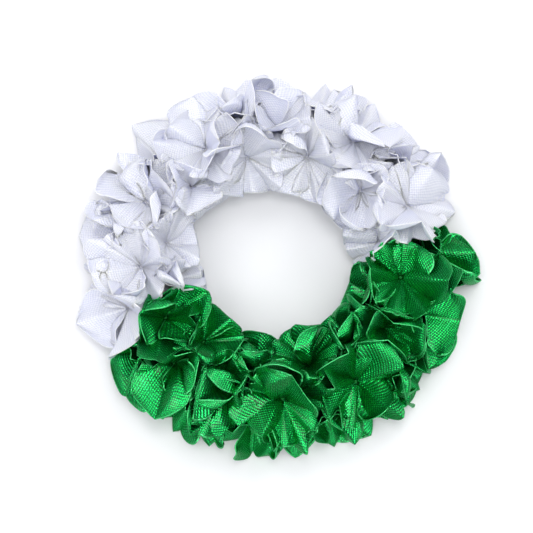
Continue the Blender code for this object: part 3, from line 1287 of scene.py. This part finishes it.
@dataclass(frozen=True)
class SatinWeave:
    """The satin's weave: ribs across the ribbon, broken by floats, and a beaded selvedge.

    Attributes:
        middle: how light a thread is on the whole, from 0 to 1; the less light, the more painted
            groove shade. It sets the relief too.
        rib_light: how much the ribs change that, float_light the floats and row_light the rows.
        float_step: how far each row's floats are moved on, in floats.
        floats_per_rib: floats in the length of a rib.
        beads_per_rib: the selvedge's beads in that length.
        bead: how much a bead swells, and bead_middle the selvedge's height without it.
        edge_sharpness: how sharply the selvedge begins.
        edge_height: how far it stands over the threads, in threads.
        streaks_along: how close streaks lie along the ribbon, a metre.
        streaks_across: how close they lie across it.
        streak_detail: how much finer detail they have.
    """

    middle: float = 0.5
    rib_light: float = 0.38
    float_light: float = 0.12
    row_light: float = 0.34
    float_step: float = 0.37
    floats_per_rib: float = 0.5
    beads_per_rib: float = 0.6
    bead: float = 0.3
    bead_middle: float = 0.9
    edge_sharpness: float = 3.0
    edge_height: float = 1.4
    streaks_along: float = 900.0
    streaks_across: float = 90.0
    streak_detail: float = 2.0

    def group(self) -> bpy.types.NodeTree:
        """Draws the weave as a shader group, read in metres along and across the ribbon.

        Returns:
            The group, which gives relief, thread, selvedge and streak as numbers.
        """
        sheet = new_group(
            "satin_weave",
            {
                "Along": 0.0,
                "Across": 0.0,
                "Rib Pitch": 0.0004,
                "Float Pitch": 0.0003,
                "To Edge": 0.01,
                "Selvedge Width": 0.0008,
            },
            ("Height", "Thread", "Selvedge", "Streak"),
        )
        given = sheet.tree.nodes["in"].outputs
        turns = sheet.sum("DIVIDE", given["Along"], given["Rib Pitch"])
        rows = sheet.sum("DIVIDE", given["Across"], given["Float Pitch"])
        step = sheet.sum("MULTIPLY", sheet.sum("FLOOR", rows), self.float_step)
        floats = sheet.sum("ADD", sheet.sum("MULTIPLY", turns, self.floats_per_rib), step)
        thread = self.middle
        lights = (self.rib_light, self.float_light, self.row_light)
        for turned, light in zip((turns, floats, rows), lights):
            thread = sheet.sum("MULTIPLY_ADD", sheet.wave(turned), light, thread)
        into_edge = sheet.sum("DIVIDE", given["To Edge"], given["Selvedge Width"])
        nearness = sheet.sum("MULTIPLY", sheet.sum("SUBTRACT", 1.0, into_edge), self.edge_sharpness)
        selvedge = sheet.sum("MAXIMUM", sheet.sum("MINIMUM", nearness, 1.0), 0.0)
        bead = sheet.sum("SINE", sheet.sum("MULTIPLY", turns, 2 * math.pi * self.beads_per_rib))
        bead = sheet.sum("MULTIPLY_ADD", bead, self.bead, self.bead_middle)
        beaded = sheet.sum("MULTIPLY", selvedge, bead)
        spot = sheet.vector(
            sheet.sum("MULTIPLY", given["Along"], self.streaks_along),
            sheet.sum("MULTIPLY", given["Across"], self.streaks_across),
        )
        noise = {"Vector": spot, "Scale": 1.0, "Detail": self.streak_detail}
        streaks = sheet.add("ShaderNodeTexNoise", noise, noise_dimensions="2D")
        sheet.give(sheet.tree.nodes["out"], {
            "Height": sheet.sum("MULTIPLY_ADD", beaded, self.edge_height, thread),
            "Thread": thread,
            "Selvedge": beaded,
            "Streak": streaks.outputs[0],
        })
        return sheet.tree


class Dyer:
    """Makes the garland's materials from their finishes."""

    def __init__(self) -> None:
        """Draws the weave that the satins share."""
        self.weave = SatinWeave().group()

    def satin(self, finish: SatinFinish, uv: str) -> bpy.types.Material:
        """Satin ribbon that follows a UV map in metres along and across the ribbon.

        Args:
            finish: the ribbon's colours and gloss.
            uv: the name of the UV map.

        Returns:
            The material.
        """
        material, sheet, shader = new_material(finish.name + "_" + uv)
        place = sheet.add("ShaderNodeUVMap", uv_map=uv)
        parts = sheet.add("ShaderNodeSeparateXYZ", {0: place.outputs[0]})
        edge = sheet.add("ShaderNodeAttribute", attribute_name="selvedge")
        weave = sheet.add("ShaderNodeGroup", {
            "Along": parts.outputs[0],
            "Across": parts.outputs[1],
            "Rib Pitch": finish.rib_pitch,
            "Float Pitch": finish.float_pitch,
            "To Edge": edge.outputs["Fac"],
            "Selvedge Width": finish.selvedge_width,
        }, node_tree=self.weave).outputs
        facing = sheet.add("ShaderNodeLayerWeight").outputs["Facing"]
        # Painted sheen: streaks laid at random by noise take the paler light colour, and they are made
        # glossier too.
        painted_sheen_mask = sheet.sum("MULTIPLY", weave["Streak"], finish.painted_sheen_share)
        edged = sheet.sum("MULTIPLY", weave["Selvedge"], finish.selvedge_light)
        # Painted shade: where the ribbon is seen nearly edge on, its colour goes towards the rim
        # colour.
        edge_on_shade = sheet.sum("MULTIPLY", sheet.sum("POWER", facing, finish.rim_shade_power), finish.rim_shade_share)
        # Painted shade: the grooves between the threads take the darker fold colour, and the threads
        # that catch the light take the face colour.
        colour = sheet.blend(weave["Thread"], opaque(finish.fold), opaque(finish.face))
        colour = sheet.blend(painted_sheen_mask, colour, opaque(finish.light))
        colour = sheet.blend(edged, colour, opaque(finish.selvedge))
        colour = sheet.blend(edge_on_shade, colour, opaque(finish.rim))
        dull = finish.roughness + finish.dullness
        rough = sheet.sum("MULTIPLY_ADD", weave["Streak"], -finish.streak_gloss, dull)
        rough = sheet.sum("MULTIPLY_ADD", weave["Selvedge"], finish.selvedge_dullness, rough)
        bump = sheet.add("ShaderNodeBump", {
            "Strength": finish.bump_strength,
            "Distance": finish.bump_height,
            "Height": weave["Height"],
        })
        sheet.give(shader, {
            "Base Color": colour,
            "Roughness": rough,
            "Normal": bump.outputs[0],
            "Metallic": finish.metal,
            "Sheen Weight": finish.sheen,
            "Sheen Roughness": finish.sheen_roughness,
            "Specular IOR Level": finish.gloss,
            "Specular Tint": opaque(finish.tint),
            "Coat Weight": finish.coat,
            "Coat Roughness": finish.roughness,
            "Subsurface Weight": finish.translucence,
            "Subsurface Radius": finish.glow_radius,
            "Subsurface Scale": 1.0,
        })
        return material

    def twisted(self, finish: ThreadFinish) -> bpy.types.Material:
        """Twisted or braided thread, read from the piece's own place.

        Args:
            finish: the thread's colour and twist.

        Returns:
            The material.
        """
        material, sheet, shader = new_material(finish.name)
        wave = sheet.add("ShaderNodeTexWave", {
            "Vector": sheet.add("ShaderNodeTexCoord").outputs["Object"],
            "Scale": finish.waves / finish.pitch,
            "Distortion": finish.waver,
        }, wave_type="BANDS", bands_direction="DIAGONAL")
        # Painted shade: the twist's hollows take a darker copy of the thread's colour.
        hollow = tuple(finish.shade * part for part in finish.colour)
        bump = sheet.add("ShaderNodeBump", {
            "Strength": finish.bump_strength,
            "Distance": finish.bump_height,
            "Height": wave.outputs["Fac"],
        })
        sheet.give(shader, {
            "Base Color": sheet.blend(wave.outputs["Fac"], opaque(hollow), opaque(finish.colour)),
            "Roughness": finish.roughness,
            "Specular IOR Level": finish.gloss,
            "Normal": bump.outputs[0],
        })
        return material


class Grower:
    """A Geometry Nodes tree under construction, with named inputs."""

    def __init__(self, name: str, inputs: dict[str, float | int]) -> None:
        """Starts the tree.

        Args:
            name: the tree's name.
            inputs: each input's name and value; whole numbers make whole-number inputs.
        """
        tree = bpy.data.node_groups.new(name, "GeometryNodeTree")
        self.tree = tree
        self.sheet = NodeSheet(tree)
        self.values: dict[str, float | int] = {}
        tree.interface.new_socket("Geometry", in_out="INPUT", socket_type="NodeSocketGeometry")
        for title, value in inputs.items():
            kind = "NodeSocketInt" if isinstance(value, int) else "NodeSocketFloat"
            socket = tree.interface.new_socket(title, in_out="INPUT", socket_type=kind)
            self.values[socket.identifier] = value
        tree.interface.new_socket("Geometry", in_out="OUTPUT", socket_type="NodeSocketGeometry")
        self.given = self.sheet.add("NodeGroupInput").outputs

    def close(self, geometry: bpy.types.NodeSocket, material: bpy.types.Material) -> None:
        """Ends the tree in Realize Instances and Set Material.

        Args:
            geometry: what the tree has made.
            material: its material.
        """
        realize = self.sheet.add("GeometryNodeRealizeInstances", {"Geometry": geometry})
        dress = self.sheet.add("GeometryNodeSetMaterial", {
            "Geometry": realize.outputs["Geometry"],
            "Material": material,
        })
        self.sheet.add("NodeGroupOutput", {"Geometry": dress.outputs["Geometry"]})

    def grow(self, name: str, seed_mesh: bpy.types.Mesh) -> bpy.types.Object:
        """Runs the tree on a mesh and gives back a plain mesh object.

        Args:
            name: the new object's name.
            seed_mesh: the mesh that the tree starts from.

        Returns:
            The object, linked into the scene, with no modifier.
        """
        start = bpy.data.objects.new(name + "_start", seed_mesh)
        bpy.context.scene.collection.objects.link(start)
        modifier = start.modifiers.new("grow", "NODES")
        modifier.node_group = self.tree
        for identifier, value in self.values.items():
            modifier[identifier] = value
        graph = bpy.context.evaluated_depsgraph_get()
        mesh = bpy.data.meshes.new_from_object(start.evaluated_get(graph))
        bpy.data.objects.remove(start, do_unlink=True)
        mesh.name = name
        grown = bpy.data.objects.new(name, mesh)
        bpy.context.scene.collection.objects.link(grown)
        return grown


@dataclass(frozen=True)
class Sleeve:
    """A length of gathered ribbon sleeve over the elastic, between two angles of the ring.

    Attributes:
        band: the ring that it covers.
        first: the angle where it starts, in degrees.
        last: the angle where it ends.
        gathers: how many gathers a whole ring would have.
        gather_depth: how far a gather stands over the hollow beside it, in metres.
        thickness: the cloth's thickness.
        steps_round: points round the sleeve, and steps_per_gather along a gather.
        drift_along: how fast the gathers wander along the ring, and drift_up over its height.
        drift_turns: how far they wander, in radians.
        cloth_fullness: the cloth's length over the ring's, which the weave follows.
        cloth_round: the cloth's length round the sleeve, in metres, which it follows too.
        cut_length: the cloth's length over the arc's, a chosen value.
        weld: how near points are one.
        seed: fixes how the gathers wander.
    """

    band: Band
    first: float
    last: float
    gathers: int = 150
    gather_depth: float = 0.0006
    thickness: float = 0.00025
    steps_round: int = 40
    steps_per_gather: int = 5
    drift_along: float = 9.0
    drift_up: float = 0.7
    drift_turns: float = 22.0
    cloth_fullness: float = 1.6
    cloth_round: float = 0.037
    cut_length: float = 1.15
    weld: float = 0.00001
    seed: int = 4

    def grower(self, material: bpy.types.Material, centre: np.ndarray) -> Grower:
        """Builds the tree: a flat grid bent into the sleeve, then gathered.

        Args:
            material: the sleeve's satin.
            centre: where the ring's centre lies in the frame.

        Returns:
            The tree.
        """
        band = self.band
        join = math.degrees(band.join_gap / 2 / band.radius)
        sweep = math.radians(self.last - self.first - 2 * join)
        steps = round(self.gathers * (self.last - self.first) / 360 * self.steps_per_gather)
        grower = Grower("gathered_sleeve", {
            "Ring Radius": band.radius,
            "Half Width": band.half_width,
            "Half Height": band.half_height,
            "Height": band.height,
            "Start": math.radians(self.first + join),
            "Sweep": sweep,
            "Steps Along": steps,
            "Steps Round": self.steps_round,
            "Gathers": float(self.gathers),
            "Gather Depth": self.gather_depth,
            "Centre X": float(centre[0]),
            "Centre Y": float(centre[1]),
            "Seed": float(self.seed),
        })
        sheet, given = grower.sheet, grower.given
        grid = sheet.add("GeometryNodeMeshGrid", {
            "Size X": 1.0,
            "Size Y": 1.0,
            "Vertices X": given["Steps Along"],
            "Vertices Y": given["Steps Round"],
        })
        place = sheet.add("GeometryNodeInputPosition")
        parts = sheet.add("ShaderNodeSeparateXYZ", {0: place.outputs[0]})
        share = sheet.sum("ADD", parts.outputs[0], 0.5)
        round_share = sheet.sum("ADD", parts.outputs[1], 0.5)
        turn = sheet.sum("MULTIPLY_ADD", share, given["Sweep"], given["Start"])
        about = sheet.sum("MULTIPLY_ADD", round_share, 2 * math.pi, -math.pi / 2)
        outward, up = sheet.sum("COSINE", about), sheet.sum("SINE", about)
        spot = sheet.vector(
            sheet.sum("MULTIPLY", turn, self.drift_along),
            sheet.sum("MULTIPLY", up, self.drift_up),
            sheet.sum("ADD", outward, given["Seed"]),
        )
        drift = sheet.add("ShaderNodeTexNoise", {"Vector": spot, "Scale": 1.0}, noise_dimensions="3D")
        wander = sheet.sum("MULTIPLY", drift.outputs[0], self.drift_turns)
        phase = sheet.sum("MULTIPLY_ADD", turn, given["Gathers"], wander)
        hollow = sheet.sum("ABSOLUTE", sheet.sum("SINE", sheet.sum("MULTIPLY", phase, 0.5)))
        swell = sheet.sum("MULTIPLY", sheet.sum("SUBTRACT", 1.0, hollow), given["Gather Depth"])
        side = sheet.sum("MULTIPLY", outward, sheet.sum("ADD", given["Half Width"], swell))
        rise = sheet.sum("MULTIPLY", up, sheet.sum("ADD", given["Half Height"], swell))
        spoke = sheet.sum("ADD", given["Ring Radius"], side)
        target = sheet.vector(
            sheet.sum("MULTIPLY_ADD", spoke, sheet.sum("COSINE", turn), given["Centre X"]),
            sheet.sum("MULTIPLY_ADD", spoke, sheet.sum("SINE", turn), given["Centre Y"]),
            sheet.sum("MAXIMUM", sheet.sum("ADD", given["Height"], rise), 0.0),
        )
        arc = sheet.sum("MULTIPLY", turn, given["Ring Radius"])
        cloth = sheet.vector(
            sheet.sum("MULTIPLY", arc, self.cloth_fullness),
            sheet.sum("MULTIPLY", round_share, self.cloth_round),
        )
        store = sheet.add("GeometryNodeStoreNamedAttribute", {
            "Geometry": grid.outputs["Mesh"],
            "Name": "ribbon",
            "Value": cloth,
        }, data_type="FLOAT2", domain="CORNER")
        bend = sheet.add("GeometryNodeSetPosition", {
            "Geometry": store.outputs["Geometry"],
            "Position": target,
        })
        weld = sheet.add("GeometryNodeMergeByDistance", {
            "Geometry": bend.outputs["Geometry"],
            "Distance": self.weld,
        })
        grower.close(weld.outputs["Geometry"], material)
        return grower

    def make(self, colour: Colour, material: bpy.types.Material, centre: np.ndarray) -> None:
        """Makes the sleeve and puts it in place of its solid.

        Args:
            colour: the ribbon's colour.
            material: its satin.
            centre: where the ring's centre lies in the frame.
        """
        name = f"{colour.value}_sleeve"
        piece = self.grower(material, centre).grow(name + "_gathered", bpy.data.meshes.new("seed"))
        turned = bmesh.new()
        turned.from_mesh(piece.data)
        bmesh.ops.recalc_face_normals(turned, faces=turned.faces)
        turned.to_mesh(piece.data)
        turned.free()
        edge = piece.data.attributes.new("selvedge", "FLOAT", "POINT")
        edge.data.foreach_set("value", np.full(len(piece.data.vertices), self.band.half_width))
        piece.data.shade_smooth()
        cloth = piece.modifiers.new("thickness", "SOLIDIFY")
        cloth.thickness = self.thickness
        cloth.offset = -1.0
        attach(piece, "root")
        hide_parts(name)
        LOG.info("%s: from %.0f to %.0f degrees", name, self.first, self.last)


@dataclass(frozen=True)
class Stitches:
    """The thread that holds each knot: a few short loops crossing over it.

    Attributes:
        thread_radius: half the thread's thickness, in metres.
        span: how wide a loop is, and rise how far it is pulled up in its middle.
        loops: loops on each knot.
        stray: how far a loop is turned from its place, in radians.
        stand_off: how far the loops' feet stand off the knot.
        steps: points along a loop, and sides round the thread.
        seed: fixes how the loops stray.
    """

    thread_radius: float = 0.00013
    span: float = 0.0026
    rise: float = 0.0006
    loops: int = 3
    stray: float = 0.35
    stand_off: float = 0.0004
    steps: int = 8
    sides: int = 6
    seed: int = 11

    def grower(self, material: bpy.types.Material) -> Grower:
        """Builds the tree: crossed loops of thread on every knot's point.

        Args:
            material: the thread's material.

        Returns:
            The tree, which reads each point's own facing.
        """
        grower = Grower("knot_stitches", {
            "Thread Radius": self.thread_radius,
            "Span": self.span,
            "Rise": self.rise,
            "Loops": self.loops,
            "Seed": self.seed,
        })
        sheet, given = grower.sheet, grower.given
        half = sheet.sum("MULTIPLY", given["Span"], 0.5)
        loop = sheet.add("GeometryNodeCurveQuadraticBezier", {
            "Resolution": self.steps,
            "Start": sheet.vector(sheet.sum("MULTIPLY", half, -1.0)),
            "Middle": sheet.vector(0.0, 0.0, given["Rise"]),
            "End": sheet.vector(half),
        })
        profile = sheet.add("GeometryNodeCurvePrimitiveCircle", {
            "Resolution": self.sides,
            "Radius": given["Thread Radius"],
        })
        thread = sheet.add("GeometryNodeCurveToMesh", {
            "Curve": loop.outputs[0],
            "Profile Curve": profile.outputs["Curve"],
            "Fill Caps": True,
        })
        copies = sheet.add("GeometryNodeDuplicateElements", {
            "Geometry": given["Geometry"],
            "Amount": given["Loops"],
        }, domain="POINT")
        named = {"Name": "facing"}
        facing = sheet.add("GeometryNodeInputNamedAttribute", named, data_type="FLOAT_VECTOR")
        axis = {"Vector": facing.outputs["Attribute"]}
        turned = sheet.add("FunctionNodeAlignRotationToVector", axis, axis="Z")
        chance = sheet.add("FunctionNodeRandomValue", {
            "Min": -self.stray,
            "Max": self.stray,
            "Seed": given["Seed"],
        }, data_type="FLOAT")
        share = sheet.sum("DIVIDE", copies.outputs["Duplicate Index"], given["Loops"])
        spin = sheet.sum("MULTIPLY_ADD", share, math.pi, chance.outputs["Value"])
        around = sheet.add("FunctionNodeEulerToRotation", {0: sheet.vector(0.0, 0.0, spin)})
        turns = {0: turned.outputs[0], 1: around.outputs[0]}
        both = sheet.add("FunctionNodeRotateRotation", turns, rotation_space="LOCAL")
        stand = sheet.add("GeometryNodeInstanceOnPoints", {
            "Points": copies.outputs["Geometry"],
            "Instance": thread.outputs["Mesh"],
            "Rotation": both.outputs[0],
        })
        grower.close(stand.outputs["Instances"], material)
        return grower

    def make(
        self,
        colour: Colour,
        rosettes: list[Rosette],
        material: bpy.types.Material,
        centre: np.ndarray,
    ) -> None:
        """Sews every rosette of a colour on.

        Args:
            colour: the rosettes' colour.
            rosettes: all the rosettes of the ring.
            material: the thread's material.
            centre: where the ring's centre lies in the frame.
        """
        sewn = [rosette for rosette in rosettes if rosette.colour is colour]
        feet = [rosette.knot + centre + rosette.axis * self.stand_off for rosette in sewn]
        knots = bpy.data.meshes.new("knots")
        knots.from_pydata(feet, [], [])
        facing = knots.attributes.new("facing", "FLOAT_VECTOR", "POINT")
        facing.data.foreach_set("vector", np.array([rosette.axis for rosette in sewn]).ravel())
        piece = self.grower(material).grow(f"{colour.value}_stitches", knots)
        piece.data.shade_smooth()
        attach(piece, "root")
        LOG.info("%s: %d knots", piece.name, len(sewn))


@dataclass
class Garland:
    """All the rosettes of the ring.

    Attributes:
        band: the ring that they are sewn on.
        ribbon: the ribbon that they are made of.
        centre: where the ring's centre lies in the frame.
        outline: the rims that the petals are drawn to.
    """

    band: Band
    ribbon: Ribbon
    centre: np.ndarray
    outline: Outline = Outline()
    rosettes: list[Rosette] = field(default_factory=list)

    def plan(self) -> None:
        """Settles every rosette's place and the space that it may fill."""
        for row, places in PLACES.items():
            for place in places:
                number = len(self.rosettes)
                self.rosettes.append(Rosette(row, place, number, self.band, self.ribbon))
        for rosette in self.rosettes:
            rosette.bound_cell(self.rosettes)
            rosette.petals = rosette.draw_petals()
            rosette.lay_all()
        everywhere = np.concatenate([
            cloth[0].reshape(-1, 3) for rosette in self.rosettes for cloth in rosette.cloths
        ])
        outer = self.outline.reached(everywhere, True)
        inner = self.outline.reached(everywhere, False)
        for rosette in self.rosettes:
            rosette.cloths = [
                (self.outline.fit(points, outer, inner), *rest) for points, *rest in rosette.cloths
            ]

    def make(self, dyes: dict[Colour, bpy.types.Material]) -> None:
        """Makes each rosette's satin and puts it in place of its solid.

        Args:
            dyes: the satin of each colour.
        """
        for rosette in self.rosettes:
            satin = bpy.data.objects.new(rosette.node + "_satin", rosette.mesh(self.centre))
            bpy.context.scene.collection.objects.link(satin)
            satin.data.materials.append(dyes[rosette.colour])
            cloth = satin.modifiers.new("thickness", "SOLIDIFY")
            cloth.thickness = self.ribbon.thickness
            cloth.offset = 0.0
            cloth.use_even_offset = False
            # The length is worked back from the mesh, so it is no measure of a real ribbon.
            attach(satin, "root")
            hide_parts(rosette.node)


@dataclass(frozen=True)
class Lamp:
    """A soft square light aimed at the garland.

    Attributes:
        name: the light's name.
        place: where it stands, in metres from the frame's origin.
        size: the length of its side.
        watts: its power.
        only_shine: whether it shows in the satin's gloss alone, as a reflector does.
    """

    name: str
    place: tuple[float, float, float]
    size: float
    watts: float
    only_shine: bool = False


LAMPS = (
    Lamp("overhead", (0.05, 0.12, 1.00), 0.30, 2.2),
    Lamp("key", (0.36, 0.56, 0.66), 0.30, 1.35),
    Lamp("left", (-0.42, 0.46, 0.60), 0.26, 0.8),
    Lamp("fill", (-0.25, -0.55, 0.60), 0.40, 0.9),
    Lamp("right_reflector", (0.60, 0.10, 0.70), 0.40, 6.0, only_shine=True),
    Lamp("left_reflector", (-0.45, -0.05, 0.80), 0.35, 5.0, only_shine=True),
    Lamp("low_reflector", (0.10, -0.60, 0.65), 0.35, 5.0, only_shine=True),
)


@dataclass(frozen=True)
class Studio:
    """The plain pale floor, the soft lights and the camera over the garland.

    Lengths are metres, but for mm_per_pixel.

    Attributes:
        photo_size: the photo's width and height in pixels.
        mm_per_pixel: the photo's scale.
        ring_pixel: the pixel where the ring's centre lies.
        distance: from the camera to the garland, and elevation its rise in degrees.
        aim_height: the height that it is aimed at.
        floor_size: the floor's side.
        floor_colour: its colour, and floor_roughness how dull it is.
        sky_colour: the colour of the light from all round, and sky_strength its strength.
    """

    photo_size: int = 533
    mm_per_pixel: float = 0.28
    ring_pixel: tuple[float, float] = (275.0, 262.0)
    distance: float = 0.75
    elevation: float = 86.0
    aim_height: float = 0.012
    floor_size: float = 6.0
    floor_colour: tuple[float, float, float] = (0.98, 0.98, 0.985)
    floor_roughness: float = 0.9
    sky_colour: tuple[float, float, float] = (0.95, 0.955, 1.0)
    sky_strength: float = 0.83

    def make_floor(self) -> None:
        """A wide white floor under the garland."""
        bpy.ops.mesh.primitive_plane_add(size=self.floor_size)
        floor = bpy.context.active_object
        floor.name = "floor"
        material, sheet, shader = new_material("floor_white")
        sheet.give(shader, {
            "Base Color": opaque(self.floor_colour),
            "Roughness": self.floor_roughness,
        })
        floor.data.materials.append(material)

    def make_light(self, lamp: Lamp) -> None:
        """Hangs a light up and aims it at the garland.

        Args:
            lamp: the light's place, size and power.
        """
        place = Vector(lamp.place)
        data = bpy.data.lights.new(lamp.name, "AREA")
        data.size = lamp.size
        data.energy = lamp.watts
        light = bpy.data.objects.new(lamp.name, data)
        bpy.context.scene.collection.objects.link(light)
        light.location = place
        light.visible_diffuse = not lamp.only_shine
        light.rotation_euler = (-place).to_track_quat("-Z", "Y").to_euler()

    def make_camera(self, centre: np.ndarray) -> None:
        """The camera, looking down as in the photo.

        Args:
            centre: where the ring's centre lies in the frame.
        """
        data = bpy.data.cameras.new("camera")
        eye = bpy.data.objects.new("camera", data)
        bpy.context.scene.collection.objects.link(eye)
        bpy.context.scene.camera = eye
        view_width = self.photo_size * self.mm_per_pixel / 1000
        data.lens = data.sensor_width * self.distance / view_width
        middle = self.photo_size / 2
        aim = Vector((
            centre[0] - (self.ring_pixel[0] - middle) * self.mm_per_pixel / 1000,
            centre[1] + (self.ring_pixel[1] - middle) * self.mm_per_pixel / 1000,
            self.aim_height,
        ))
        rise = math.radians(self.elevation)
        back = Vector((0.0, -math.cos(rise), math.sin(rise)))
        eye.location = aim + back * self.distance
        eye.rotation_mode = "QUATERNION"
        eye.rotation_quaternion = (-back).to_track_quat("-Z", "Y")

    def make(self, centre: np.ndarray) -> None:
        """Sets the whole studio up round the ring's centre.

        Args:
            centre: where the ring's centre lies in the frame.
        """
        scene = bpy.context.scene
        scene.view_settings.view_transform = "Standard"
        world = bpy.data.worlds.new("studio")
        scene.world = world
        world.use_nodes = True
        sky = world.node_tree.nodes["Background"]
        sky.inputs["Color"].default_value = opaque(self.sky_colour)
        sky.inputs["Strength"].default_value = self.sky_strength
        self.make_floor()
        for lamp in LAMPS:
            self.make_light(lamp)
        self.make_camera(centre)


def main() -> None:
    """Builds the garland's looks and logs each sleeve and each colour's stitches."""
    logging.basicConfig(level=logging.INFO, format="%(message)s")
    band = Band()
    low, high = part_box("elastic_band")
    centre = np.array([(low.x + high.x) / 2, (low.y + high.y) / 2, 0.0])
    dyer = Dyer()
    dyes = {
        Colour.WHITE: dyer.satin(WHITE_SATIN, "ribbon"),
        Colour.GREEN: dyer.satin(GREEN_SATIN, "ribbon"),
    }
    garland = Garland(band, Ribbon(), centre)
    garland.plan()
    garland.make(dyes)
    spans = {
        Colour.WHITE: (band.white_from, band.white_to),
        Colour.GREEN: (band.white_to, band.white_from + 360),
    }
    threads = {
        Colour.WHITE: dyer.twisted(WHITE_THREAD),
        Colour.GREEN: dyer.twisted(GREEN_THREAD),
    }
    for colour, (first, last) in spans.items():
        Sleeve(band, first, last).make(colour, dyes[colour], centre)
        Stitches().make(colour, garland.rosettes, threads[colour], centre)
    elastic = bpy.data.objects["elastic_band"]
    elastic.data.materials.clear()
    elastic.data.materials.append(dyer.twisted(ELASTIC_BRAID))
    Studio().make(centre)


if __name__ == "__main__":
    main()
